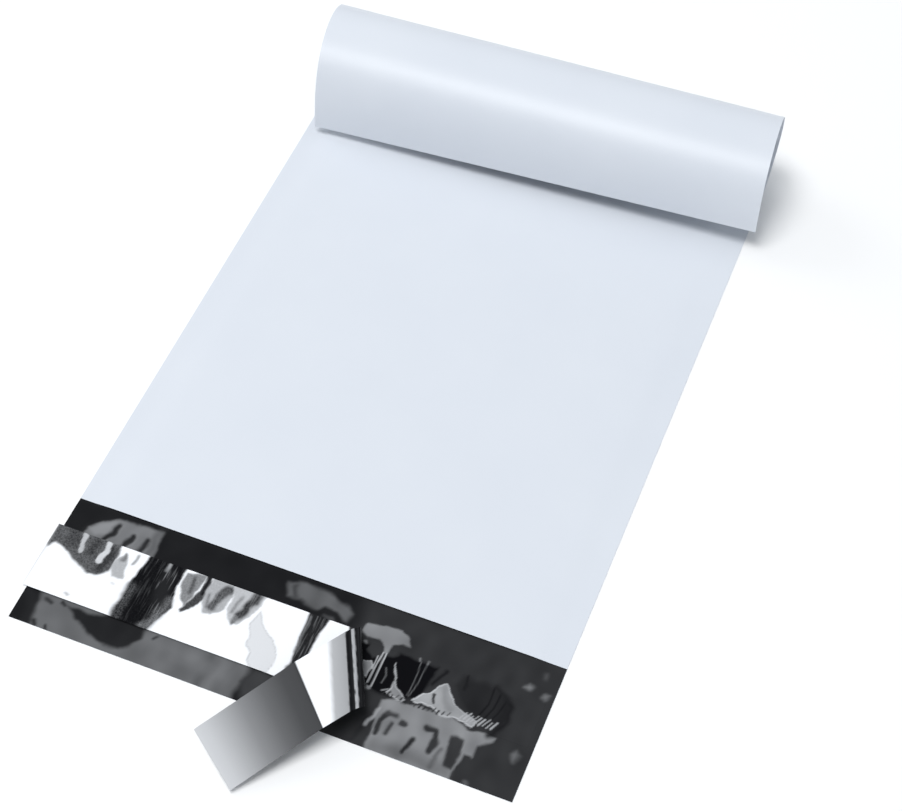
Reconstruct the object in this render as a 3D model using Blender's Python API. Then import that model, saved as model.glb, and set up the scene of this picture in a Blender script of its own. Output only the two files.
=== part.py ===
# Poly mailer bag, lying open with its far end rolled up and its release liner half peeled.
#
# Frame: +X to the bag's right, +Y from the mouth to the bottom fold, +Z up.
# The origin is on the table, under the middle of the mouth. Metres throughout.
#
# The film is one web: the flap and the back panel are its lower sheet, the front panel its
# upper sheet, joined by the bottom fold and the two side welds. Its outside is white and its
# inside black. Flat coordinates are u across the bag, v along it and h up from the underside.

import math

import bmesh
import bpy
from mathutils import Matrix, Vector

# Bag
BAG_WIDTH = 0.170
BAG_LENGTH = 0.300            # mouth to bottom fold
FLAP_DEPTH = 0.048            # mouth to the flap's free edge
FILM_THICKNESS = 0.00008
WELD_WIDTH = 0.004            # fused strip along each side
POUCH_GAP = 0.0004            # space between the two panels of the empty bag
GAP_TAPER = 0.009             # the panels close up over this width beside a weld or the fold

# Rolled far end
ROLLED_LENGTH = 0.1205        # film past the line where it lifts, along the left edge
ROLL_START = BAG_LENGTH - ROLLED_LENGTH   # mouth to that line
ROLL_SKEW = math.radians(1.8)  # the roll's axis against the mouth, seen from above
ROLL_TURN = math.radians(258.5)  # from the lifting line round to the bottom fold
TIGHTENING_SHARE = 0.523      # part of the rolled film over which the bend tightens

# Adhesive on the flap
ADHESIVE_WIDTH = 0.0158
ADHESIVE_LEAD = 0.0022        # from the flap's middle towards the mouth
ADHESIVE_THICKNESS = 0.00008
ADHESIVE_END_GAP = 0.002      # from each side of the bag
SEAT_GAP = 0.0003             # between pieces that lie on each other

# Release liner, centred on the flap
LINER_WIDTH = 0.0245
LINER_THICKNESS = 0.00008
LINER_OVERHANG = 0.0015       # past each side of the bag
LINER_MIDDLE = -FLAP_DEPTH / 2.0
PEEL_PLACE = 0.0216           # where the liner leaves the flap, right of the middle
PEEL_ANGLE = math.radians(63.4)   # the peel line against the mouth
PEEL_RADIUS = 0.0046
PEEL_TURN = math.radians(187.0)
CREASE_DISTANCE = 0.0121      # film from the end of the loop to the crease
CREASE_SKEW = math.radians(-8.3)  # the crease against a square cut across the liner
TABLE_GAP = 0.0001            # under the liner's hanging end

# Mesh
FLAP_ROWS = 3
FLAT_ROWS = 4
ROLL_ROWS = 46
PANEL_COLUMNS = 6
TAPER_COLUMNS = 2
LINER_COLUMNS = 4
LINER_FLAT_ROWS = 3
LOOP_ROWS = 18
TAIL_ROWS = 5
BEND_STEPS = 400              # steps along the roll's section


def clear_scene():
    for item in list(bpy.data.objects):
        bpy.data.objects.remove(item, do_unlink=True)


def finish_material(name, color, roughness):
    material = bpy.data.materials.new(name)
    material.use_nodes = True
    shader = material.node_tree.nodes["Principled BSDF"]
    shader.inputs["Base Color"].default_value = (*color, 1.0)
    shader.inputs["Roughness"].default_value = roughness
    shader.inputs["Metallic"].default_value = 0.0
    return material


def evenly(start, end, count):
    # The stations after start, the last one at end.
    return [start + (end - start) * step / count for step in range(1, count + 1)]


def ease(value):
    # Smooth rise from 0 to 1.
    value = min(max(value, 0.0), 1.0)
    return value * value * (3.0 - 2.0 * value)


def roll_length():
    # Film past the lifting line, square to it, at the left edge, which has most of it.
    return ROLLED_LENGTH * math.cos(ROLL_SKEW)


def roll_slope(distance):
    # Angle of the film at a distance past the lifting line. The bend tightens evenly and then
    # slackens evenly to none at the bottom fold, so its tightest radius follows from the turn.
    radius = roll_length() / (2.0 * ROLL_TURN)
    tight = roll_length() * TIGHTENING_SHARE
    slack = roll_length() - tight
    if distance <= tight:
        return distance ** 2 / (2.0 * tight * radius)
    past = min(distance - tight, slack)
    return (tight / 2.0 + past - past ** 2 / (2.0 * slack)) / radius


def roll_section():
    # Points (run, rise) of the rolled film's section at even steps of film.
    step = roll_length() / BEND_STEPS
    run, rise = 0.0, 0.0
    points = [(run, rise)]
    for index in range(BEND_STEPS + 2):
        slope = roll_slope((index + 0.5) * step)
        run += step * math.cos(slope)
        rise += step * math.sin(slope)
        points.append((run, rise))
    return points, step


def roll_up(point, section):
    # Carries a point of the flat bag to its place on the rolled bag.
    points, step = section
    across = point.x + BAG_WIDTH / 2.0
    along = point.y - ROLL_START
    distance = along * math.cos(ROLL_SKEW) - across * math.sin(ROLL_SKEW)
    if distance <= 0.0:
        return point.copy()
    axial = along * math.sin(ROLL_SKEW) + across * math.cos(ROLL_SKEW)
    index = min(int(distance / step), len(points) - 2)
    part = distance / step - index
    run = points[index][0] + (points[index + 1][0] - points[index][0]) * part
    rise = points[index][1] + (points[index + 1][1] - points[index][1]) * part
    slope = roll_slope(distance)
    run -= point.z * math.sin(slope)
    rise += point.z * math.cos(slope)
    x = -BAG_WIDTH / 2.0 + axial * math.cos(ROLL_SKEW) - run * math.sin(ROLL_SKEW)
    y = ROLL_START + axial * math.sin(ROLL_SKEW) + run * math.cos(ROLL_SKEW)
    return Vector((x, y, rise))


def make_object(name, mesh_builder, materials):
    mesh = bpy.data.meshes.new(name)
    mesh_builder.to_mesh(mesh)
    mesh_builder.free()
    for material in materials:
        mesh.materials.append(material)
    piece = bpy.data.objects.new(name, mesh)
    bpy.context.scene.collection.objects.link(piece)
    mesh.shade_smooth()
    mesh.set_sharp_from_angle(angle=math.radians(40.0))
    return piece


def panel_columns():
    # Stations across the bag: a weld, the taper beside it, the panel, and the same again.
    weld = BAG_WIDTH / 2.0 - WELD_WIDTH
    open_edge = weld - GAP_TAPER
    stations = [-BAG_WIDTH / 2.0, -weld]
    stations += evenly(-weld, -open_edge, TAPER_COLUMNS)
    stations += evenly(-open_edge, open_edge, PANEL_COLUMNS)
    stations += evenly(open_edge, weld, TAPER_COLUMNS)
    stations.append(BAG_WIDTH / 2.0)
    return stations


def panel_rows():
    # Stations along the bag from the flap's edge to the end of the space inside the fold,
    # with the index of the mouth's row.
    fold_inside = BAG_LENGTH - FILM_THICKNESS
    stations = [-FLAP_DEPTH]
    stations += evenly(-FLAP_DEPTH, 0.0, FLAP_ROWS)
    stations += evenly(0.0, ROLL_START, FLAT_ROWS)
    stations += evenly(ROLL_START, fold_inside, ROLL_ROWS)
    return stations, FLAP_ROWS


def pouch_gap(u, v):
    # Space between the panels, none at the welds and at the fold.
    from_weld = BAG_WIDTH / 2.0 - WELD_WIDTH - abs(u)
    from_fold = BAG_LENGTH - FILM_THICKNESS - v
    return POUCH_GAP * ease(from_weld / GAP_TAPER) * ease(from_fold / GAP_TAPER)


def build_mailer_film(white, black):
    # One closed web in four levels: back panel outside and inside, front panel inside and
    # outside. The two inside levels share their points along the welds and at the fold.
    columns = panel_columns()
    rows, mouth = panel_rows()
    last_column = len(columns) - 1
    last_row = len(rows) - 1
    section = roll_section()
    builder = bmesh.new()

    def place(u, v, height):
        return builder.verts.new(roll_up(Vector((u, v, height)), section))

    back_out, back_in, front_in, front_out = {}, {}, {}, {}
    for i, v in enumerate(rows):
        for j, u in enumerate(columns):
            back_out[i, j] = place(u, v, 0.0)
            back_in[i, j] = place(u, v, FILM_THICKNESS)
            if i < mouth:
                continue
            gap = pouch_gap(u, v)
            closed = j <= 1 or j >= last_column - 1 or i == last_row
            front_in[i, j] = back_in[i, j] if closed else place(u, v, FILM_THICKNESS + gap)
            front_out[i, j] = place(u, v, 2.0 * FILM_THICKNESS + gap)
    fold = [place(u, BAG_LENGTH, FILM_THICKNESS) for u in columns]

    def face(corners, material_index=0):
        builder.faces.new(corners).material_index = material_index

    def patch(level, i, j, faces_up, material_index=0):
        corners = [level[i, j], level[i, j + 1], level[i + 1, j + 1], level[i + 1, j]]
        face(corners if faces_up else corners[::-1], material_index)

    for i in range(last_row):
        for j in range(last_column):
            welded = j == 0 or j == last_column - 1
            patch(back_out, i, j, False)
            if i < mouth or not welded:
                patch(back_in, i, j, True, 1)
            if i >= mouth:
                patch(front_out, i, j, True)
                if not welded:
                    patch(front_in, i, j, False, 1)

    # The flap's free edge, the mouth's lip and the fold, from left to right.
    for j in range(last_column):
        face([back_in[0, j + 1], back_in[0, j], back_out[0, j], back_out[0, j + 1]])
        lip = back_in if j == 0 or j == last_column - 1 else front_in
        face([front_out[mouth, j + 1], front_out[mouth, j], lip[mouth, j], lip[mouth, j + 1]])
        face([front_out[last_row, j], front_out[last_row, j + 1], fold[j + 1], fold[j]])
        face([fold[j], fold[j + 1], back_out[last_row, j + 1], back_out[last_row, j]])

    # The trimmed sides: one film thick along the flap, two along the pouch.
    for j, leftward in ((0, True), (last_column, False)):
        for i in range(last_row):
            corners = [back_out[i, j], back_out[i + 1, j], back_in[i + 1, j], back_in[i, j]]
            face(corners[::-1] if leftward else corners)
            if i >= mouth:
                corners = [back_in[i, j], back_in[i + 1, j], front_out[i + 1, j], front_out[i, j]]
                face(corners[::-1] if leftward else corners)
        lower = [back_out[last_row, j], fold[j], back_in[last_row, j]]
        upper = [back_in[last_row, j], fold[j], front_out[last_row, j]]
        face(lower[::-1] if leftward else lower)
        face(upper[::-1] if leftward else upper)

    bmesh.ops.triangulate(builder, faces=builder.faces[:])
    return make_object("mailer_film", builder, [white, black])


def build_adhesive_strip(material):
    length = BAG_WIDTH - 2.0 * ADHESIVE_END_GAP
    bottom = FILM_THICKNESS + SEAT_GAP
    builder = bmesh.new()
    bmesh.ops.create_cube(builder, size=1.0)
    bmesh.ops.scale(builder, vec=(length, ADHESIVE_WIDTH, ADHESIVE_THICKNESS), verts=builder.verts)
    middle = ADHESIVE_LEAD - FLAP_DEPTH / 2.0
    centre = Vector((0.0, middle, bottom + ADHESIVE_THICKNESS / 2.0))
    bmesh.ops.translate(builder, vec=centre, verts=builder.verts)
    return make_object("adhesive_strip", builder, [material])


def liner_underside():
    return FILM_THICKNESS + ADHESIVE_THICKNESS + 2.0 * SEAT_GAP


def peel_loop(point):
    # Carries a point of the flat liner round the loop. point.x runs along the liner from the
    # bag's middle, point.y across it from the liner's middle, point.z up from its underside.
    out = Vector((math.sin(PEEL_ANGLE), math.cos(PEEL_ANGLE)))
    along = Vector((math.cos(PEEL_ANGLE), -math.sin(PEEL_ANGLE)))
    flat = Vector((point.x - PEEL_PLACE, point.y))
    distance = flat.dot(out)
    axial = flat.dot(along)
    arc = PEEL_RADIUS * PEEL_TURN
    angle = min(max(distance, 0.0), arc) / PEEL_RADIUS
    straight = distance if distance < 0.0 else max(distance - arc, 0.0)
    run = PEEL_RADIUS * math.sin(angle) + straight * math.cos(angle) - point.z * math.sin(angle)
    rise = PEEL_RADIUS * (1.0 - math.cos(angle)) + straight * math.sin(angle) + point.z * math.cos(angle)
    x = PEEL_PLACE + axial * along.x + run * out.x
    y = LINER_MIDDLE + axial * along.y + run * out.y
    return Vector((x, y, liner_underside() + rise))


def liner_end():
    return BAG_WIDTH / 2.0 + LINER_OVERHANG


def crease_place():
    # Distance from the bag's middle to the crease, along the flat liner's middle.
    return PEEL_PLACE + (PEEL_RADIUS * PEEL_TURN + CREASE_DISTANCE) / math.sin(PEEL_ANGLE)


def crease_frame():
    # A point on the crease and the crease's direction, once the loop is made.
    start = peel_loop(Vector((crease_place(), 0.0, 0.0)))
    reach = Vector((crease_place() + math.sin(CREASE_SKEW), math.cos(CREASE_SKEW), 0.0))
    return start, (peel_loop(reach) - start).normalized()


def touching_fold(corner, start, axis):
    # The fold at which a corner, given from a point of the crease, comes down to the table.
    steady = axis.z * corner.dot(axis)
    level = corner.z - steady
    swing = axis.cross(corner).z
    drop = (TABLE_GAP - start.z - steady) / math.hypot(level, swing)
    return math.atan2(swing, level) - math.acos(min(max(drop, -1.0), 1.0))


def tail_fold():
    # The fold at the crease that lays the lowest corner of the liner's end on the table.
    start, axis = crease_frame()
    half = LINER_WIDTH / 2.0
    folds = []
    for side in (-half, half):
        for level in (0.0, LINER_THICKNESS):
            corner = peel_loop(Vector((liner_end(), side, level))) - start
            folds.append(touching_fold(corner, start, axis))
    return max(folds)


def build_release_liner(material):
    start, axis = crease_frame()
    fold = Matrix.Rotation(tail_fold(), 3, axis)
    half = LINER_WIDTH / 2.0
    loop_lead = half / math.tan(PEEL_ANGLE)       # the peel line's slant across the liner
    crease_lead = half * math.tan(CREASE_SKEW)
    loop_start = PEEL_PLACE
    loop_end = PEEL_PLACE + PEEL_RADIUS * PEEL_TURN / math.sin(PEEL_ANGLE)
    builder = bmesh.new()

    def stations(side):
        # Places along the liner where it is bent, at this side of its middle (-1 to 1).
        peel = side * loop_lead
        places = [-liner_end()]
        places += evenly(-liner_end(), loop_start - peel, LINER_FLAT_ROWS)
        places += evenly(loop_start - peel, loop_end - peel, LOOP_ROWS)
        places += evenly(loop_end - peel, crease_place() + side * crease_lead, 1)
        places += evenly(crease_place() + side * crease_lead, liner_end(), TAIL_ROWS)
        return places

    crease_row = LINER_FLAT_ROWS + LOOP_ROWS + 1
    lower, upper = [], []
    for index in range(LINER_COLUMNS + 1):
        side = 2.0 * index / LINER_COLUMNS - 1.0
        for level, height in ((lower, 0.0), (upper, LINER_THICKNESS)):
            line = []
            for row, place in enumerate(stations(side)):
                spot = peel_loop(Vector((place, side * half, height)))
                if row > crease_row:
                    spot = start + fold @ (spot - start)
                line.append(builder.verts.new(spot))
            level.append(line)

    rows = len(lower[0]) - 1
    for k in range(LINER_COLUMNS):
        for i in range(rows):
            builder.faces.new([upper[k][i], upper[k][i + 1], upper[k + 1][i + 1], upper[k + 1][i]])
            builder.faces.new([lower[k][i], lower[k + 1][i], lower[k + 1][i + 1], lower[k][i + 1]])
        builder.faces.new([lower[k][0], upper[k][0], upper[k + 1][0], lower[k + 1][0]])
        builder.faces.new([lower[k][rows], lower[k + 1][rows], upper[k + 1][rows], upper[k][rows]])
    for i in range(rows):
        builder.faces.new([lower[0][i], lower[0][i + 1], upper[0][i + 1], upper[0][i]])
        builder.faces.new([lower[-1][i], upper[-1][i], upper[-1][i + 1], lower[-1][i + 1]])
    bmesh.ops.triangulate(builder, faces=builder.faces[:])
    return make_object("release_liner", builder, [material])


def main():
    clear_scene()
    white = finish_material("white_film", (0.80, 0.82, 0.85), 0.38)
    black = finish_material("black_film", (0.035, 0.035, 0.04), 0.25)
    glue = finish_material("hot_melt_adhesive", (0.05, 0.05, 0.055), 0.12)
    clear = finish_material("clear_liner", (0.85, 0.86, 0.88), 0.08)
    build_mailer_film(white, black)
    build_adhesive_strip(glue)
    build_release_liner(clear)


main()
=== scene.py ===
import math

import bmesh
import bpy
import numpy as np
from mathutils import Matrix, Vector, noise


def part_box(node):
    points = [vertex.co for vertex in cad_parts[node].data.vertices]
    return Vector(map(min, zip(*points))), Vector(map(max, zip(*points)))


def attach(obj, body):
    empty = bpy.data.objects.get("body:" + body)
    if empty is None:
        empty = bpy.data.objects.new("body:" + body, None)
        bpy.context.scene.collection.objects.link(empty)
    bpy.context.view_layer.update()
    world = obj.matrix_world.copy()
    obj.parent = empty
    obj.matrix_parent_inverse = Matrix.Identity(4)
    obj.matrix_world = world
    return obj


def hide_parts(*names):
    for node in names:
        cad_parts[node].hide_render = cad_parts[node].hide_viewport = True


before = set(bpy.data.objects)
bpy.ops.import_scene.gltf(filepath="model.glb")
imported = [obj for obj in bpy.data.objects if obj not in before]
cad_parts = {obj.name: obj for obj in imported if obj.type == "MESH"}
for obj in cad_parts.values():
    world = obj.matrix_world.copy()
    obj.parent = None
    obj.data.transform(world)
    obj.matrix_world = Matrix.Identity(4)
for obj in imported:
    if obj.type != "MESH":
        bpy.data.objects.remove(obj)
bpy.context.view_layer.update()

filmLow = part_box("mailer_film")[0]
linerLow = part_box("release_liner")[0]
stripLow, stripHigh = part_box("adhesive_strip")

millimetre = 0.001
crispAngle = math.radians(50.0)      # edges bent more than this are drawn crisp

bag = {
    "width": -2.0 * filmLow.x,
    "length": 0.300,             # mouth to bottom fold
    "flap": -filmLow.y,          # mouth to the flap's free edge
    "film": 0.00008,
    "clearance": 0.00002,        # between layers that touch
    "pouchGap": 0.0004,          # space between the panels in the middle
    "weld": 0.004,
    "gapTaper": 0.009,
}


# Camera and studio

camera = {
    "place": (0.950632, -1.688268, 3.200991),    # bag widths from the middle of the mouth
    "yaw": -0.382388,
    "dip": 0.941680,
    "lens": 79.03,
    "sensor": 36.0,
}
light = {
    "sky": (0.90, 0.95, 1.0),
    "skyStrength": 0.45,
    "aim": (0.0, 0.08, 0.0),
    "overhead": {"place": (-0.25, -0.2, 1.9), "size": (1.1, 0.7), "power": 24.6},
    "glint": {"place": (-0.38, -1.4, 1.75), "size": (0.9, 0.6), "power": 34.0},
    "side": {"place": (-1.1, 0.5, 0.8), "size": (0.6, 0.7), "power": 2.4},
    "floorHalf": 3.0,
    "floorDepth": 0.00005,
}


def makeCamera():
    data = bpy.data.cameras.new("camera")
    data.sensor_width = camera["sensor"]
    data.lens = camera["lens"]
    data.clip_start = 0.01
    data.clip_end = 20.0
    eye = bpy.data.objects.new("camera", data)
    bpy.context.scene.collection.objects.link(eye)
    yaw, dip = camera["yaw"], camera["dip"]
    ahead = Vector((math.sin(yaw) * math.cos(dip), math.cos(yaw) * math.cos(dip), -math.sin(dip)))
    right = Vector((math.cos(yaw), -math.sin(yaw), 0.0))
    up = right.cross(ahead)
    turn = Matrix((right, up, -ahead)).transposed()
    eye.matrix_world = Matrix.Translation(Vector(camera["place"]) * bag["width"]) @ turn.to_4x4()
    bpy.context.scene.camera = eye


def areaLight(name):
    values = light[name]
    data = bpy.data.lights.new(name, "AREA")
    data.shape = "RECTANGLE"
    data.size, data.size_y = values["size"]
    data.energy = values["power"]
    lamp = bpy.data.objects.new(name, data)
    bpy.context.scene.collection.objects.link(lamp)
    place = Vector(values["place"])
    lamp.location = place
    lamp.rotation_mode = "QUATERNION"
    lamp.rotation_quaternion = (Vector(light["aim"]) - place).to_track_quat("-Z", "Y")
    return lamp


def makeStage():
    bpy.context.scene.view_settings.view_transform = "Standard"
    world = bpy.data.worlds.new("studio")
    bpy.context.scene.world = world
    world.use_nodes = True
    sky = world.node_tree.nodes["Background"]
    sky.inputs["Color"].default_value = (*light["sky"], 1.0)
    sky.inputs["Strength"].default_value = light["skyStrength"]
    builder = bmesh.new()
    level = Matrix.Translation((0.0, 0.0, -light["floorDepth"]))
    bmesh.ops.create_grid(builder, x_segments=1, y_segments=1, size=light["floorHalf"], matrix=level)
    mesh = bpy.data.meshes.new("floor")
    builder.to_mesh(mesh)
    builder.free()
    floor = bpy.data.objects.new("floor", mesh)
    bpy.context.scene.collection.objects.link(floor)
    mesh.materials.append(newMaterial("floor", (0.97, 0.97, 0.97), 0.9, 0.0)[0])
    # One lamp lights the film and another one is only mirrored in it, as the soft band on the roll.
    areaLight("overhead").visible_glossy = False
    areaLight("glint").visible_diffuse = False
    areaLight("side")
    print("stage made")


# Materials

def newMaterial(name, color, roughness, specular):
    material = bpy.data.materials.new(name)
    material.use_nodes = True
    shader = material.node_tree.nodes["Principled BSDF"]
    shader.inputs["Base Color"].default_value = (*color, 1.0)
    shader.inputs["Roughness"].default_value = roughness
    shader.inputs["Specular IOR Level"].default_value = specular
    return material, material.node_tree, shader


def mathNode(tree, operation, first, second=None, third=None):
    node = tree.nodes.new("ShaderNodeMath")
    node.operation = operation
    for socket, value in zip(node.inputs, (first, second, third)):
        if value is None:
            continue
        if isinstance(value, (int, float)):
            socket.default_value = value
        else:
            tree.links.new(value, socket)
    return node.outputs[0]


def noiseNode(tree, vector, scale, detail):
    node = tree.nodes.new("ShaderNodeTexNoise")
    node.inputs["Scale"].default_value = scale
    node.inputs["Detail"].default_value = detail
    tree.links.new(vector, node.inputs["Vector"])
    return node.outputs["Fac"]


def bumpNode(tree, shader, height, distance, strength):
    bump = tree.nodes.new("ShaderNodeBump")
    bump.inputs["Strength"].default_value = strength
    bump.inputs["Distance"].default_value = distance
    tree.links.new(height, bump.inputs["Height"])
    tree.links.new(bump.outputs["Normal"], shader.inputs["Normal"])


finishes = {
    # roughness, specular, and the depth of the surface's relief in metres
    "whiteFilm": (0.42, 0.5, 0.00002),
    "blackFilm": (0.30, 0.16, 0.00003),
    "hotMelt": (0.16, 0.05, 0.00003),
    "clearLiner": (0.12, 0.06, 0.00006),
}
whiteTones = ((0.69, 0.727, 0.79, 1.0), (0.73, 0.765, 0.82, 1.0))
paintNames = ("tone", "grain", "streak")


def whiteFilm():
    roughness, specular, relief = finishes["whiteFilm"]
    material, tree, shader = newMaterial("whiteFilm", whiteTones[0][:3], roughness, specular)
    place = tree.nodes.new("ShaderNodeTexCoord").outputs["Object"]
    cloud = noiseNode(tree, place, 28.0, 3.0)
    tone = tree.nodes.new("ShaderNodeMix")
    tone.data_type = "RGBA"
    tone.inputs["A"].default_value, tone.inputs["B"].default_value = whiteTones
    tree.links.new(cloud, tone.inputs["Factor"])
    tree.links.new(tone.outputs["Result"], shader.inputs["Base Color"])
    fine = noiseNode(tree, place, 900.0, 2.0)
    bumpNode(tree, shader, fine, relief, 0.12)
    return material


def paintedGroup():
    # Colour of film over glue or air: a painted tone, which also carries the painted glare and reflections
    # on the films, broken up by grain and by fine streaks.
    group = bpy.data.node_groups.new("paintedFilm", "ShaderNodeTree")
    group.interface.new_socket("Color", in_out="OUTPUT", socket_type="NodeSocketColor")
    group.interface.new_socket("Height", in_out="OUTPUT", socket_type="NodeSocketFloat")
    result = group.nodes.new("NodeGroupOutput")
    place = group.nodes.new("ShaderNodeTexCoord").outputs["Object"]
    paints = {}
    for name in paintNames:
        node = group.nodes.new("ShaderNodeAttribute")
        node.attribute_name = name
        paints[name] = node.outputs["Fac"]
    speck = noiseNode(group, place, 1900.0, 3.0)
    stretch = group.nodes.new("ShaderNodeMapping")
    stretch.inputs["Scale"].default_value = (1500.0, 110.0, 60.0)
    group.links.new(place, stretch.inputs["Vector"])
    line = noiseNode(group, stretch.outputs["Vector"], 1.0, 2.0)
    centred = mathNode(group, "MULTIPLY_ADD", speck, 0.55, -0.275)
    speckle = mathNode(group, "MULTIPLY", centred, paints["grain"])
    ridge = mathNode(group, "MAXIMUM", mathNode(group, "SUBTRACT", line, 0.52), 0.0)
    streaks = mathNode(group, "MULTIPLY", ridge, paints["streak"])
    total = mathNode(group, "ADD", mathNode(group, "ADD", paints["tone"], speckle), streaks)
    total = mathNode(group, "MINIMUM", mathNode(group, "MAXIMUM", total, 0.004), 0.97)
    combine = group.nodes.new("ShaderNodeCombineColor")
    group.links.new(total, combine.inputs["Red"])
    group.links.new(mathNode(group, "MULTIPLY", total, 1.015), combine.inputs["Green"])
    group.links.new(mathNode(group, "MULTIPLY_ADD", total, 1.045, 0.001), combine.inputs["Blue"])
    group.links.new(combine.outputs["Color"], result.inputs["Color"])
    rough = mathNode(group, "ADD", speckle, mathNode(group, "MULTIPLY", streaks, 2.0))
    group.links.new(rough, result.inputs["Height"])
    return group


def paintedMaterial(name, group):
    roughness, specular, relief = finishes[name]
    material, tree, shader = newMaterial(name, (0.02, 0.02, 0.02), roughness, specular)
    node = tree.nodes.new("ShaderNodeGroup")
    node.node_tree = group
    tree.links.new(node.outputs["Color"], shader.inputs["Base Color"])
    bumpNode(tree, shader, node.outputs["Height"], relief, 0.5)
    return material


# Rolling the film up. Every point is given flat, as (u, v, height) in metres.

roll = {
    "film": 0.1205,              # past the lifting line, on the left edge
    "skew": math.radians(1.8),
    "turn": math.radians(258.5),
    "tightening": 0.523,         # share of the film over which the bend tightens
    "steps": 600,
}
roll["start"] = bag["length"] - roll["film"]


def ease(value):
    value = np.clip(value, 0.0, 1.0)
    return value * value * (3.0 - 2.0 * value)


def makeSection():
    total = roll["film"] * math.cos(roll["skew"])
    radius = total / (2.0 * roll["turn"])
    tight = total * roll["tightening"]
    slack = total - tight
    step = total / roll["steps"]
    distance = np.arange(roll["steps"] + 4) * step
    middles = distance + step / 2.0

    def slopeAt(places):
        past = np.clip(places - tight, 0.0, slack)
        before = np.minimum(places, tight) ** 2 / (2.0 * tight)
        return (before + past - past ** 2 / (2.0 * slack)) / radius

    run = np.concatenate(([0.0], np.cumsum(step * np.cos(slopeAt(middles)))))[:-1]
    rise = np.concatenate(([0.0], np.cumsum(step * np.sin(slopeAt(middles)))))[:-1]
    return distance, run, rise, slopeAt


section = makeSection()


def rollUp(points):
    distances, runs, rises, slopeAt = section
    skewCos, skewSin = math.cos(roll["skew"]), math.sin(roll["skew"])
    across = points[:, 0] + bag["width"] / 2.0
    along = points[:, 1] - roll["start"]
    distance = along * skewCos - across * skewSin
    axial = along * skewSin + across * skewCos
    slope = slopeAt(np.maximum(distance, 0.0))
    run = np.interp(distance, distances, runs) - points[:, 2] * np.sin(slope)
    rise = np.interp(distance, distances, rises) + points[:, 2] * np.cos(slope)
    placed = points.copy()
    lifted = distance > 0.0
    placed[lifted, 0] = (-bag["width"] / 2.0 + axial * skewCos - run * skewSin)[lifted]
    placed[lifted, 1] = (roll["start"] + axial * skewSin + run * skewCos)[lifted]
    placed[lifted, 2] = rise[lifted]
    return placed


# Marks on the flap and the liner, in millimetres on the bag: u to the right of its middle,
# v towards the bottom fold from the mouth. An area or a stroke has a soft edge, a tone and,
# where the film is puckered, a lift with its own softness, the swell.

def area(points, soft, tone, **more):
    return {"area": points, "soft": soft, "tone": tone, **more}


def stroke(points, half, soft, tone, **more):
    return {"line": points, "half": half, "soft": soft, "tone": tone, **more}


# On the black film, tones lighter than its own black are painted reflections off its puckers.
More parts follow.
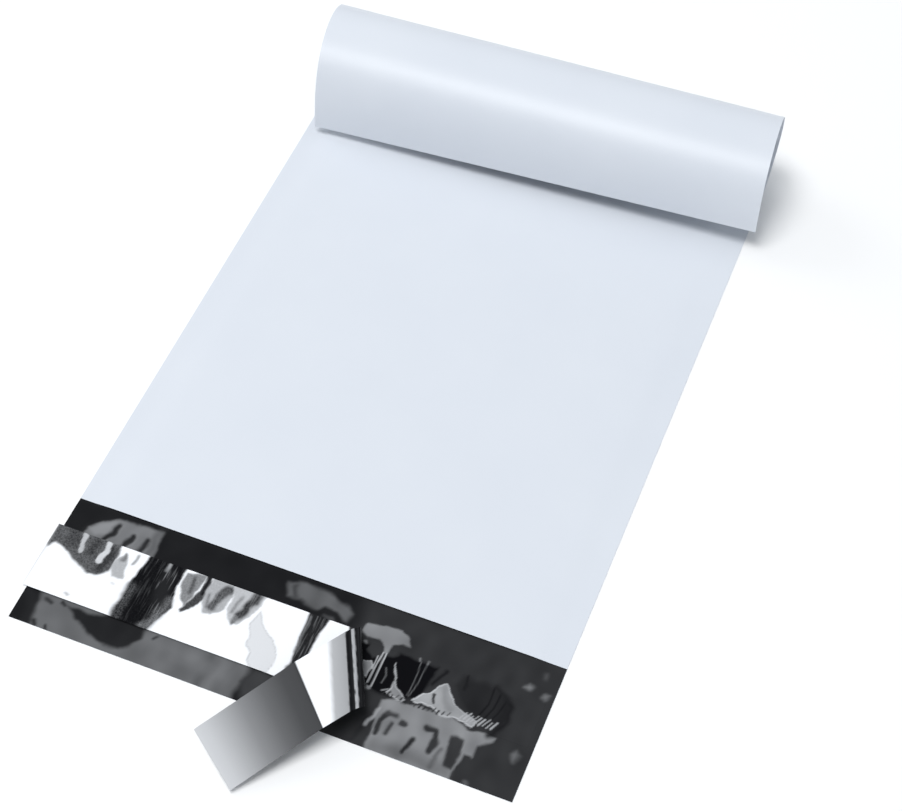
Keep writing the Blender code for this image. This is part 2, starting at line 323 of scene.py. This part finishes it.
flapMarks = [
    # the outer margin, left to right
    area([(-79, -35), (-79, -42), (-77.5, -50), (-8, -50), (-6, -35)], 1.4, 0.125, lift=0.12, swell=3.0),
    stroke([(-83, -37), (-80, -43), (-79, -49)], 1.6, 1.5, 0.012),
    stroke([(-19, -37), (-19.5, -48)], 1.0, 1.2, 0.1),
    stroke([(-14, -37), (-16, -47)], 1.5, 1.5, 0.165),
    stroke([(-38, -37.5), (-38.5, -38.5)], 0.5, 0.6, 0.03),
    stroke([(-34, -40), (-20, -41)], 2.0, 2.5, 0.15),
    area([(-5, -35), (-7, -42), (-3, -50), (24, -50), (14, -35)], 1.6, 0.04),
    area([(-69, -37.5), (-65, -41), (-59, -44), (-52.5, -46), (-47.5, -45.8), (-44.5, -43.5),
          (-42.5, -39.5), (-42.5, -35), (-54, -35), (-60, -37.5)], 0.9, 0.012, lift=-0.25, swell=2.0),
    stroke([(-77, -38), (-75, -38.2)], 0.8, 0.8, 0.03),
    stroke([(-71.5, -37.5), (-70, -38)], 0.6, 0.6, 0.025),
    stroke([(-77, -46), (-76, -47.5)], 0.7, 0.7, 0.02),
    stroke([(-72.5, -47), (-72, -48)], 0.5, 0.5, 0.02),
    # between the mouth and the liner
    area([(-77.5, -14), (-77, -9), (-73.5, -5), (-69, -2.8), (-62.5, -2), (-54, -2), (-52.6, -5.5),
          (-53, -9), (-52.5, -14)], 0.8, 0.17, lift=0.3, swell=2.2),
    area([(-77, -9), (-73, -5.5), (-69.5, -4.2), (-70, -9), (-74, -11)], 1.0, 0.24),
    stroke([(-55, -3), (-54.5, -11)], 1.2, 1.2, 0.115),
    stroke([(-68, -5), (-68.5, -8), (-70.5, -11.5)], 0.95, 0.6, 0.018, lift=-0.35, swell=1.2),
    stroke([(-62, -7), (-62.6, -9.5), (-64.5, -14)], 1.1, 0.6, 0.018, lift=-0.35, swell=1.2),
    stroke([(-56.8, -7), (-57.2, -10), (-57.6, -13)], 0.9, 0.7, 0.02, lift=-0.3, swell=1.2),
    area([(-8, -3.5), (-3, -2), (5, -2.2), (9.5, -4), (13.5, -5), (15.5, -7.5), (15, -10.5), (11, -11.5),
          (4, -10), (-2, -8.2), (-6.5, -8.5)], 1.1, 0.11, lift=0.15, swell=3.0),
    stroke([(-5.2, -4.2), (-4.2, -7.6)], 0.8, 1.0, 0.05),
    stroke([(3.4, -12), (6.5, -9.2), (10.5, -9.4), (14.5, -12)], 1.3, 0.8, 0.01),
    # above the bared glue
    area([(20.5, -11), (21.5, -8.5), (27, -7), (32.5, -6.5), (35.5, -8.5), (37, -11), (34.5, -11.6),
          (31.8, -12.6), (31, -15.5), (30, -16), (29.3, -14), (27, -12), (23, -12)],
         0.35, 0.225, lift=0.35, swell=1.3),
    stroke([(23, -13.8), (23.2, -14.2)], 0.6, 0.4, 0.19),
    stroke([(79.5, -4.5), (79.8, -5)], 0.5, 1.3, 0.08),
    area([(75, -10.6), (76, -9.2), (77.6, -9.8), (76.8, -11)], 1.1, 0.19, lift=0.15, swell=1.2),
    area([(80.8, -12), (81.8, -10.6), (83.4, -10.8), (82.4, -12.4)], 0.9, 0.15, lift=0.12, swell=1.2),
    area([(79.2, -33.4), (80.4, -31.8), (81.6, -33.2), (81, -35.6)], 1.3, 0.14, lift=0.15, swell=1.4),
    stroke([(69.5, -47.2), (70, -48)], 0.6, 0.8, 0.1),
    # beyond the bared glue, puckered towards the free edge
    area([(35, -36), (36, -31.5), (39.5, -29), (43.5, -29.8), (50.5, -29), (53.5, -29.5), (58, -28.8),
          (65, -31), (72.8, -30.2), (72.5, -32), (68.8, -35), (68.6, -39.5), (66, -39), (65, -44),
          (64.5, -50), (56, -50), (46, -50), (37, -50), (37, -44), (36.5, -38.5)],
         0.55, 0.225, lift=0.35, swell=1.6),
    stroke([(40, -46), (62, -46)], 2.2, 2.0, 0.155),
    stroke([(39.8, -35), (38.3, -37.5), (38.3, -42)], 0.9, 0.5, 0.03, lift=-0.3, swell=1.0),
    stroke([(39.5, -34.6), (42.2, -34.9)], 0.7, 0.7, 0.05, lift=-0.2, swell=0.9),
    stroke([(41.9, -37.6), (41.2, -41.2)], 0.55, 0.5, 0.05, lift=-0.15, swell=0.9),
    stroke([(44.3, -36.0), (45.8, -36.0)], 0.85, 0.5, 0.04, lift=-0.25, swell=0.9),
    stroke([(50, -40), (48.4, -45)], 0.75, 0.5, 0.02, lift=-0.3, swell=1.0),
    stroke([(52.5, -35), (55.3, -35), (56.4, -38), (56, -41.5)], 1.1, 0.6, 0.03, lift=-0.35, swell=1.2),
    area([(60, -34.5), (62, -33.6), (64.3, -34.8), (65, -39.5), (64.3, -45), (61.3, -44.5), (60.6, -39)],
         0.6, 0.03, lift=-0.35, swell=1.3),
    stroke([(58.8, -40), (57.8, -46.5)], 0.6, 0.8, 0.1, lift=-0.12, swell=1.0),
    stroke([(36.3, -34.5), (34.3, -41)], 0.55, 0.4, 0.34, lift=0.15, swell=0.8),
    stroke([(33.5, -42), (32, -47)], 0.8, 0.8, 0.02),
    # the bared glue
    area([(20, -14.5), (28.5, -14.5), (29, -17), (33, -16), (35, -14), (48, -14), (46, -27), (38, -29.5),
          (20, -29.5)], 0.9, 0.003),
    area([(25.5, -13), (29, -14), (29.5, -17.5), (27, -18.5), (24.5, -16.5)],
         0.5, 0.032, lift=0.2, swell=1.2),
    area([(23.8, -24), (24.6, -21), (27.5, -19.4), (29.2, -21.2), (28.6, -24), (28.6, -25.8), (25.2, -25)],
         0.18, 0.24, rim=0.42, lift=0.35, swell=0.7),
    stroke([(30.0, -15.8), (29.4, -27.5)], 0.22, 0.15, 0.42, lift=0.3, swell=0.5),
    stroke([(31.1, -15.8), (31.0, -28.5)], 0.22, 0.15, 0.46, lift=0.3, swell=0.5),
    stroke([(28.9, -17.6), (29.2, -22.5)], 0.25, 0.15, 0.38, lift=0.2, swell=0.5),
    stroke([(26.0, -26.6), (28.2, -28.4), (30.4, -29.4)], 0.6, 0.3, 0.3, lift=0.25, swell=0.6),
    stroke([(26.6, -28.4), (27.4, -27.6)], 0.4, 0.25, 0.4),
    stroke([(28.4, -27.0), (29.6, -29.0)], 0.25, 0.2, 0.012),
    stroke([(32.8, -20.5), (33.6, -23), (33.4, -26)], 0.2, 0.2, 0.12),
    area([(35.2, -17.6), (36.4, -20.5), (37.4, -23), (38.4, -25.3), (42.6, -28.4), (41.8, -29.6),
          (39, -29.2), (35.6, -28.4), (37.0, -26.2), (36.7, -23), (35.6, -20.5)],
         0.18, 0.22, rim=0.4, lift=0.45, swell=0.8),
    stroke([(34.6, -28.3), (36.2, -27.2)], 0.25, 0.2, 0.26),
    stroke([(42.2, -14.6), (42.5, -27.0)], 0.16, 0.18, 0.1, lift=0.2, swell=0.5),
    stroke([(44.4, -14.6), (43.1, -27.0)], 0.16, 0.18, 0.1, lift=0.2, swell=0.5),
    stroke([(41.5, -13.6), (41.7, -14.4)], 0.22, 0.4, 0.22),
    stroke([(44.5, -13.6), (44.4, -14.6)], 0.2, 0.4, 0.2),
    area([(44, -28), (46.5, -24.5), (49, -23.2), (50.4, -20), (52.5, -18.8), (54.6, -20.4), (57, -24.2),
          (60.5, -26), (63.5, -26.6), (66.4, -28), (64.4, -29.8), (59.5, -29.0), (57.5, -29.3),
          (54.5, -29.7), (51.5, -28.6), (50.5, -28), (45.5, -28.8)],
         0.18, 0.31, rim=0.48, lift=0.55, swell=1.0),
    stroke([(50.2, -23.5), (51.2, -26.6)], 0.4, 0.25, 0.03, lift=-0.3, swell=0.6),
    stroke([(52.6, -20.5), (54.0, -24.5), (56.5, -27)], 0.8, 0.9, 0.25, lift=0.1, swell=0.9),
    area([(56, -14.5), (66, -13.8), (73, -16.5), (74.5, -24), (71, -30), (66.5, -27.5), (61.5, -25),
          (57, -21.5), (54.8, -18)], 1.6, 0.015, lift=-0.1, swell=2.0),
    stroke([(57.5, -14.3), (58.2, -18)], 0.45, 0.5, 0.01, lift=-0.15, swell=0.8),
    stroke([(50.6, -14.6), (48.2, -20)], 0.6, 0.6, 0.01, lift=-0.15, swell=0.9),
    stroke([(66.5, -14.5), (66.6, -20.5), (65.3, -26)], 0.3, 0.25, 0.008, lift=-0.25, swell=0.5),
    stroke([(69, -16), (68.6, -21.5), (67.3, -26.4)], 0.3, 0.25, 0.008, lift=-0.25, swell=0.5),
    stroke([(71.5, -17.5), (70.6, -22.5), (69, -27)], 0.28, 0.25, 0.01, lift=-0.2, swell=0.5),
    stroke([(67, -13.5), (73.5, -18.5), (74.2, -25), (70.5, -31)], 0.7, 0.9, 0.012, lift=-0.12, swell=1.4),
]
combMarks = {
    "start": 61.0, "pitch": 1.25, "count": 9, "lean": 0.7,
    "top": -25.8, "bottom": -28.4, "half": 0.2, "tone": 0.42,
}
notchMarks = {
    "start": 35.6, "pitch": 1.5, "count": 15, "lean": 0.2,
    "top": -28.3, "bottom": -29.4, "half": 0.22, "tone": 0.02,
}

# On the clear liner, the pale tones are painted glare; the dark ones are the film and glue seen through it.
linerMarks = [
    # wetted, grainy film along the near edge at the left
    area([(-88, -11), (-88, -17.5), (-86.3, -20.5), (-84, -18.2), (-81, -19.2), (-76.5, -22),
          (-72, -23.2), (-69, -25), (-66, -24.5), (-63, -22.2), (-62.5, -19.5), (-63, -16), (-63.6, -11),
          (-77.5, -11)], 0.55, 0.1, grain=0.42, lift=-0.12, swell=1.2),
    stroke([(-66, -14), (-65.4, -18), (-66.5, -22)], 1.4, 1.2, 0.04, grain=0.2),
    stroke([(-71.5, -13), (-72, -17.5)], 1.4, 1.0, 0.05, grain=0.3),
    stroke([(-79.5, -13), (-79, -16)], 2.2, 1.6, 0.06, grain=0.3),
    stroke([(-76.2, -12.4), (-75.3, -17.8)], 0.9, 0.25, 0.5, grain=0.3, lift=0.15, swell=0.6),
    stroke([(-67.2, -12.4), (-67.9, -19.8)], 0.95, 0.25, 0.62, grain=0.3, lift=0.15, swell=0.6),
    area([(-62.6, -15.5), (-60.5, -13.6), (-59, -17), (-57.8, -22.5), (-61.5, -23.4), (-63, -20.5)],
         0.4, 0.44, grain=0.25, lift=0.08, swell=0.8),
    stroke([(-60.7, -14), (-61, -16)], 0.6, 0.5, 0.2, grain=0.2),
    stroke([(-56.5, -13), (-57.0, -16.2)], 0.5, 0.5, 0.32, grain=0.2),
    stroke([(-60.4, -25.4), (-59.6, -25.6)], 0.25, 0.5, 0.6),
    stroke([(-71.8, -34.2), (-71.2, -34.8)], 0.35, 0.5, 0.45, grain=0.3),
    # the liner's cut end
    stroke([(-86.4, -12), (-86.4, -37)], 0.1, 0.5, 0.45, grain=0.3),
    # wrinkled band, wetted right across
    area([(-53.2, -10), (-54, -16), (-54.8, -23), (-54.3, -29), (-54.8, -38), (-42.5, -38), (-42, -34.5),
          (-40.3, -31.5), (-38.5, -27), (-39, -24.5), (-40, -19), (-40.5, -10)],
         0.4, 0.006, grain=0.04, streak=0.22, lift=-0.2, swell=1.6),
    stroke([(-53.6, -24), (-53.9, -36)], 1.6, 1.0, 0.05, grain=0.42, streak=0.2),
    stroke([(-40.6, -24), (-41.5, -31), (-44, -36)], 1.6, 1.2, 0.12, grain=0.55, streak=0.3),
    stroke([(-46, -12), (-46, -14.5)], 0.6, 0.5, 0.35, grain=0.2),
    stroke([(-44.5, -16), (-43.6, -26)], 2.2, 2.0, 0.018, streak=1.1),
    # grey wedge and dark fingers
    area([(-39.6, -13), (-33, -11.5), (-33.8, -20), (-35.5, -25), (-38.5, -20), (-39.6, -16)],
         0.35, 0.24, grain=0.4, lift=-0.08, swell=0.8),
    stroke([(-36.0, -14), (-35.6, -19)], 0.7, 0.8, 0.08, grain=0.3),
    area([(-33, -11), (-31, -11), (-30, -18.5), (-31.5, -22.5), (-35, -26.7), (-36.2, -26),
          (-34.5, -22.5), (-32.8, -17.5)], 0.3, 0.06, grain=0.2, lift=-0.15, swell=0.8),
    stroke([(-32, -12), (-31.6, -18)], 0.6, 0.4, 0.012),
    area([(-30.5, -11), (-23.5, -11), (-22.5, -16), (-23, -21), (-26, -24.2), (-28.5, -24.2),
          (-30.5, -21), (-31, -16.5)], 0.35, 0.42, grain=0.35, lift=-0.1, swell=0.9),
    stroke([(-24.0, -13.5), (-26, -17), (-27, -21.5)], 1.5, 0.8, 0.09, grain=0.35, streak=0.4),
    stroke([(-29.2, -17.5), (-28.6, -22)], 0.3, 0.5, 0.16, grain=0.3),
    area([(-23.5, -11), (-11.5, -11), (-12.5, -15), (-14, -20), (-16.5, -24.2), (-19.5, -24.6),
          (-22.5, -20.5), (-22, -17.5)], 0.35, 0.5, grain=0.3, lift=-0.1, swell=0.9),
    stroke([(-14.4, -12.5), (-16, -16.5), (-17.2, -21)], 1.5, 0.8, 0.05, grain=0.25, streak=0.4),
    stroke([(-19.5, -15), (-20, -21)], 0.5, 0.8, 0.22, grain=0.35),
    stroke([(-18, -22.5), (-18.6, -24.4)], 0.8, 0.5, 0.18, grain=0.45),
    # pale column of painted glare
    area([(-12, -16.5), (-8, -22), (-3, -25), (-0.5, -29.5), (-0.3, -36), (-5.5, -38), (-10.4, -30),
          (-13, -22.5)], 0.5, 0.72, rim=0.58, grain=0.06, lift=0.08, swell=1.2),
    # dark bend beside the peel
    area([(3, -11), (3.2, -20), (4.2, -26), (4.4, -37), (6, -31), (8.6, -25.5), (8.8, -20), (9.6, -11)],
         0.5, 0.018, grain=0.04, streak=0.5, lift=-0.2, swell=1.2),
    stroke([(4, -13), (4.2, -26)], 0.4, 0.5, 0.15, grain=0.2, streak=0.4),
]


def nearMark(points, closed, u, v):
    # Whether each place lies inside the mark's outline, and how far it is from its line.
    inside = np.zeros(u.shape, bool)
    away = np.full(u.shape, 1e9)
    ends = points[1:] + points[:1] if closed else points[1:]
    for (u1, v1), (u2, v2) in zip(points, ends):
        du, dv = u2 - u1, v2 - v1
        share = np.clip(((u - u1) * du + (v - v1) * dv) / (du * du + dv * dv), 0.0, 1.0)
        away = np.minimum(away, np.hypot(u - u1 - share * du, v - v1 - share * dv))
        if closed and dv != 0.0:
            inside ^= ((v1 > v) != (v2 > v)) & (u < u1 + (v - v1) * du / dv)
    return inside, away


edges = {
    # pitch and reach in millimetres, and a place in the noise
    "bend": (9.0, 0.5, 4.0),
    "waver": (3.4, 0.8, 2.0),
    "fray": (0.9, 0.16, 7.0),
    "thin": 0.35,                # strokes thinner than this only bend
    "rimAt": 0.25,
    "rimReach": 0.35,
}


def wander(u, v, pitch, reach, seed):
    # A wavering shift of places on the film, so that no mark keeps a straight edge.
    places = [(x / pitch, y / pitch) for x, y in zip(u, v)]
    shiftU = np.array([noise.noise(Vector((x, y, seed))) for x, y in places])
    shiftV = np.array([noise.noise(Vector((x, y, seed + 20.5))) for x, y in places])
    return u + reach * shiftU, v + reach * shiftV


def layUp(marks, u, v, tone):
    # Lays the marks over a starting tone, each covering those before it.
    bent = wander(u, v, *edges["bend"])
    frayed = wander(*wander(u, v, *edges["waver"]), *edges["fray"])
    paint = {"tone": tone.copy(), "grain": np.zeros(u.shape), "streak": np.zeros(u.shape)}
    lift = np.zeros(u.shape)
    for mark in marks:
        closed = "area" in mark
        places = bent if mark.get("half", 1.0) < edges["thin"] else frayed
        inside, away = nearMark(mark["area"] if closed else mark["line"], closed, *places)
        depth = np.where(inside, away, -away) if closed else mark["half"] - away
        cover = ease(0.5 + depth / (2.0 * mark["soft"]))
        for name in paint:
            paint[name] += (mark.get(name, 0.0) - paint[name]) * cover
        if "rim" in mark:
            edge = ease(1.0 - np.abs(depth - edges["rimAt"]) / edges["rimReach"])
            paint["tone"] += (mark["rim"] - paint["tone"]) * edge
        if "lift" in mark:
            lift += mark["lift"] * ease(0.5 + depth / (2.0 * mark["swell"]))
    return paint, lift * millimetre


def repeated(marks):
    # A row of short strokes across the film, each a little off the last one's place.
    strokes = []
    for index in range(marks["count"]):
        start = marks["start"] + index * marks["pitch"]
        waver = 0.4 * math.sin(index * 2.4)
        top = (start + marks["lean"] + waver * 0.5, marks["top"] + waver)
        bottom = (start - marks["lean"], marks["bottom"] + waver * 0.4)
        half = marks["half"] * (1.0 + 0.4 * math.sin(index * 1.7))
        strokes.append(stroke([top, bottom], half, 0.2, marks["tone"], lift=marks["tone"] * 0.3, swell=0.5))
    return strokes


flapMarks += repeated(combMarks) + repeated(notchMarks)
flapSurface = {
    "leftTone": 0.008,
    "rightTone": 0.028,
    "toneTurns": 14.0,           # millimetres to the right of the middle
    "toneReach": 8.0,
    "ripple": 0.00012,
    "edgeReach": 0.004,
    "edgeShare": 0.3,            # how much of the ripple is left at the free edge
    "cloud": 0.3,
}


def softNoise(u, v, pitchU, pitchV, seed):
    return np.array([noise.noise(Vector((x / pitchU, y / pitchV, seed))) for x, y in zip(u, v)])


def flapPaint(u, v):
    # Tones and height of the flap's inner face at flat places in metres.
    values = flapSurface
    u, v = u / millimetre, v / millimetre
    change = ease((u - values["toneTurns"]) / values["toneReach"])
    tone = values["leftTone"] + (values["rightTone"] - values["leftTone"]) * change
    paint, lift = layUp(flapMarks, u, v, tone)
    reach = values["edgeReach"] / millimetre
    freeEdge = ease((bag["flap"] / millimetre + v) / reach)
    near = ease(-v / reach) * (values["edgeShare"] + (1.0 - values["edgeShare"]) * freeEdge)
    height = (lift + values["ripple"] * (1.0 + softNoise(u, v, 14.0, 18.0, 5.0))) * near
    paint["tone"] *= 1.0 + values["cloud"] * softNoise(u, v, 5.0, 7.0, 9.0)
    return paint, np.maximum(height, 0.0)


# Meshes

def flatPiece(name, width, low, high, columns, rows, thickness, materials, finer=None):
    # A flat slab in bag coordinates, with its finer part cut up further.
    builder = bmesh.new()
    made = bmesh.ops.create_grid(builder, x_segments=columns, y_segments=rows, size=0.5)
    bmesh.ops.scale(builder, vec=(width, high - low, 1.0), verts=made["verts"])
    bmesh.ops.translate(builder, vec=(0.0, (low + high) / 2.0, 0.0), verts=made["verts"])
    if finer is not None:
        limit, cuts = finer
        fine = [face for face in builder.faces if face.calc_center_median().y < limit]
        edges = list({edge for face in fine for edge in face.edges})
        bmesh.ops.subdivide_edges(builder, edges=edges, cuts=cuts, use_grid_fill=True)
    made = bmesh.ops.extrude_face_region(builder, geom=builder.faces[:], use_keep_orig=True)
    raised = [item for item in made["geom"] if isinstance(item, bmesh.types.BMVert)]
    bmesh.ops.translate(builder, vec=(0.0, 0.0, thickness), verts=raised)
    bmesh.ops.recalc_face_normals(builder, faces=builder.faces[:])
    for face in builder.faces:
        face.smooth = True
    mesh = bpy.data.meshes.new(name)
    builder.to_mesh(mesh)
    builder.free()
    for material in materials:
        mesh.materials.append(material)
    piece = bpy.data.objects.new(name, mesh)
    bpy.context.scene.collection.objects.link(piece)
    return piece


def readPoints(mesh):
    flat = np.empty(len(mesh.vertices) * 3)
    mesh.vertices.foreach_get("co", flat)
    return flat.reshape(-1, 3)


def writePoints(mesh, points):
    # The cut edges stay crisp.
    mesh.vertices.foreach_set("co", points.ravel())
    mesh.update()
    mesh.set_sharp_from_angle(angle=crispAngle)


def writePaint(mesh, paint):
    for name, values in paint.items():
        layer = mesh.attributes.new(name, "FLOAT", "POINT")
        layer.data.foreach_set("value", values.astype(np.float32))


def pouchGap(u, v):
    side = bag["width"] / 2.0 - bag["weld"] - np.abs(u)
    fold = bag["length"] - v
    return bag["pouchGap"] * ease(side / bag["gapTaper"]) * ease(fold / bag["gapTaper"])


def makeBackWeb(white, black):
    # Flap and back panel. The flap's inner face is black and puckered.
    piece = flatPiece("backWeb", bag["width"], -bag["flap"], bag["length"], 61, 126, bag["film"],
                      [white, black], (0.0, 5))
    mesh = piece.data
    points = readPoints(mesh)
    for polygon in mesh.polygons:
        if polygon.normal.z > 0.5:
            polygon.material_index = 1
    onFlap = points[:, 1] < 0.0
    paint = {name: np.zeros(len(points)) for name in paintNames}
    paint["tone"] += 0.02
    flapTones, height = flapPaint(points[onFlap, 0], points[onFlap, 1])
    for name in paintNames:
        paint[name][onFlap] = flapTones[name]
    points[onFlap, 2] += height
    writePoints(mesh, rollUp(points))
    writePaint(mesh, paint)
    return piece


def makeFrontPanel(white, black):
    piece = flatPiece("frontPanel", bag["width"], 0.0, bag["length"], 68, 120, bag["film"],
                      [white, black])
    mesh = piece.data
    points = readPoints(mesh)
    for polygon in mesh.polygons:
        if polygon.normal.z < -0.5:
            polygon.material_index = 1
    gap = pouchGap(points[:, 0], points[:, 1])
    waves = softNoise(points[:, 0], points[:, 1], 1.0 / 22.0, 1.0 / 16.0, 1.0)
    points[:, 2] += bag["film"] + bag["clearance"] + gap * (1.0 + 0.35 * waves)
    writePoints(mesh, rollUp(points))
    return piece


def makeAdhesive(material):
    width = stripHigh.x - stripLow.x
    piece = flatPiece("adhesiveFilm", width, stripLow.y, stripHigh.y, 460, 46, bag["clearance"],
                      [material])
    points = readPoints(piece.data)
    paint, height = flapPaint(points[:, 0], points[:, 1])
    # The glue shines less than the film beside it, so where it isn't bare it is painted lighter.
    paint["tone"] += 0.004 * ease((paint["tone"] - 0.006) / 0.01)
    points[:, 2] += bag["film"] + bag["clearance"] + height
    writePoints(piece.data, points)
    writePaint(piece.data, paint)
    return piece


# The liner. Its flat places are (along from the bag's middle, across from its own middle, height).

liner = {
    "width": 0.0245,
    "thickness": 0.00008,
    "middle": -bag["flap"] / 2.0,
    "underside": 0.00076,
    "end": -linerLow.x,
    "peelPlace": 0.0216,
    "peelAngle": math.radians(63.4),
    "peelRadius": 0.0046,
    "peelTurn": math.radians(187.0),
    "creaseDistance": 0.0121,
    "creaseSkew": math.radians(-8.3),
    "tableGap": 0.0001,
    "columns": 420,
    "rows": 60,
    # Its columns lean with the peel line and then with the crease, so that both stay crisp.
    "leanPlaces": (-0.010, 0.012, 0.040, 0.0519, 0.080),
    "leans": (0.0, -0.5008, -0.5008, -0.1459, 0.0),
    "leanReach": 0.012,
    "letGo": 0.006,              # the film comes off its marks this far before the peel line
    "lowest": -0.00022,          # a wetted mark's deepest dent
    "crinkle": 0.00007,
    "tonesShift": 0.0002,
}


def peelLoop(points):
    angle, radius = liner["peelAngle"], liner["peelRadius"]
    outX, outY = math.sin(angle), math.cos(angle)
    alongX, alongY = math.cos(angle), -math.sin(angle)
    placeX = points[:, 0] - liner["peelPlace"]
    distance = placeX * outX + points[:, 1] * outY
    axial = placeX * alongX + points[:, 1] * alongY
    arc = radius * liner["peelTurn"]
    turn = np.clip(distance, 0.0, arc) / radius
    straight = np.where(distance < 0.0, distance, np.maximum(distance - arc, 0.0))
    run = (radius - points[:, 2]) * np.sin(turn) + straight * np.cos(turn)
    rise = radius - (radius - points[:, 2]) * np.cos(turn) + straight * np.sin(turn)
    x = liner["peelPlace"] + axial * alongX + run * outX
    y = liner["middle"] + axial * alongY + run * outY
    return np.column_stack((x, y, liner["underside"] + rise))


def creasePlace(across):
    arc = liner["peelRadius"] * liner["peelTurn"] + liner["creaseDistance"]
    middle = liner["peelPlace"] + arc / math.sin(liner["peelAngle"])
    return middle + across * math.tan(liner["creaseSkew"])


def creaseFrame():
    reach = 0.01
    spots = peelLoop(np.array([[creasePlace(0.0), 0.0, 0.0], [creasePlace(reach), reach, 0.0]]))
    start, end = Vector(spots[0]), Vector(spots[1])
    return start, (end - start).normalized()


def tailFold():
    # The fold at the crease that lays the liner's end on the table.
    start, axis = creaseFrame()
    folds = []
    for side in (-0.5, 0.5):
        flat = np.array([[liner["end"], side * liner["width"], 0.0]])
        corner = Vector(peelLoop(flat)[0]) - start
        steady = axis.z * corner.dot(axis)
        level, swing = corner.z - steady, axis.cross(corner).z
        drop = (liner["tableGap"] - start.z - steady) / math.hypot(level, swing)
        folds.append(math.atan2(swing, level) - math.acos(min(max(drop, -1.0), 1.0)))
    return max(folds)


def shearColumns(points):
    column = np.interp(points[:, 0], liner["leanPlaces"], liner["leans"])
    spacing = 2.0 * liner["end"] / liner["columns"]
    crease = creasePlace(0.0)
    nearest = round((crease + liner["end"]) / spacing) * spacing - liner["end"]
    away = np.abs(points[:, 0] - nearest)
    shift = (crease - nearest) * np.clip(1.0 - away / liner["leanReach"], 0.0, 1.0)
    lean = np.where(away < spacing / 2.0, math.tan(liner["creaseSkew"]), column)
    points[:, 0] += lean * points[:, 1] + shift


loopReflectionTones = [
    # painted highlights and reflections on the curled liner: distance past the peel line in millimetres,
    # tone
    (0.0, 0.95), (0.5, 0.95), (1.2, 0.03), (10.9, 0.012), (11.6, 0.014), (11.9, 0.42), (12.7, 0.50),
    (12.9, 0.02), (14.2, 0.006), (14.6, 0.02), (14.9, 0.36), (19.0, 0.45), (20.6, 0.93), (40.0, 0.95),
]
tailReflectionTones = [
    # a painted reflection, darker at the crease: share of the way from the crease to the end, tone
    (0.0, 0.048), (0.02, 0.064), (0.15, 0.074), (0.35, 0.136), (0.565, 0.248), (0.74, 0.40),
    (0.9, 0.545), (1.0, 0.60),
]


def makeLiner(material):
    half = liner["width"] / 2.0
    piece = flatPiece("peeledLiner", 2.0 * liner["end"], -half, half, liner["columns"], liner["rows"],
                      liner["thickness"], [material])
    points = readPoints(piece.data)
    shearColumns(points)
    x, across = points[:, 0], points[:, 1]
    angle = liner["peelAngle"]
    distance = (x - liner["peelPlace"]) * math.sin(angle) + across * math.cos(angle)
    flatV = across + liner["middle"]
    # The liner starts white all over, a painted glare on the clear film.
    paint, lift = layUp(linerMarks, x / millimetre, flatV / millimetre, np.full(len(points), 0.95))
    attached = 1.0 - ease((distance + liner["letGo"]) / 0.005)
    crinkle = softNoise(x, across, 1.0 / 900.0, 1.0 / 260.0, 4.0)
    inBand = np.clip(paint["streak"] * 2.0 + paint["grain"], 0.0, 1.0)
    dents = np.maximum(lift, liner["lowest"]) + liner["crinkle"] * crinkle * inBand
    points[:, 2] += dents * attached

    # painted highlights and reflections past the peel line
    past = x - creasePlace(across)
    share = past / (liner["end"] - creasePlace(across))
    loop = np.interp((distance + liner["tonesShift"] * crinkle) / millimetre, *zip(*loopReflectionTones))
    peeled = np.where(past > 0.0, np.interp(share, *zip(*tailReflectionTones)), loop)
    blend = (distance > 0.0).astype(float)
    paint["tone"] += (peeled - paint["tone"]) * blend
    paint["grain"] *= 1.0 - blend
    paint["streak"] *= 1.0 - blend

    start, axis = creaseFrame()
    fold = np.array(Matrix.Rotation(tailFold(), 3, axis))
    placed = peelLoop(points)
    folded = past > 0.00001
    placed[folded] = (placed[folded] - np.array(start)) @ fold.T + np.array(start)
    writePoints(piece.data, placed)
    writePaint(piece.data, paint)
    return piece


makeCamera()
makeStage()
group = paintedGroup()
white = whiteFilm()
black = paintedMaterial("blackFilm", group)
glue = paintedMaterial("hotMelt", group)
clear = paintedMaterial("clearLiner", group)
backWeb = makeBackWeb(white, black)
frontPanel = makeFrontPanel(white, black)
print("film made")
adhesiveFilm = makeAdhesive(glue)
peeledLiner = makeLiner(clear)
print("strip and liner made")

for piece, slotName, node in (
    (backWeb, "white_film", "mailer_film"),
    (frontPanel, "white_film", "mailer_film"),
    (adhesiveFilm, "hot_melt_adhesive", "adhesive_strip"),
    (peeledLiner, "clear_liner", "release_liner"),
):
    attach(piece, "root")
    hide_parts(node)
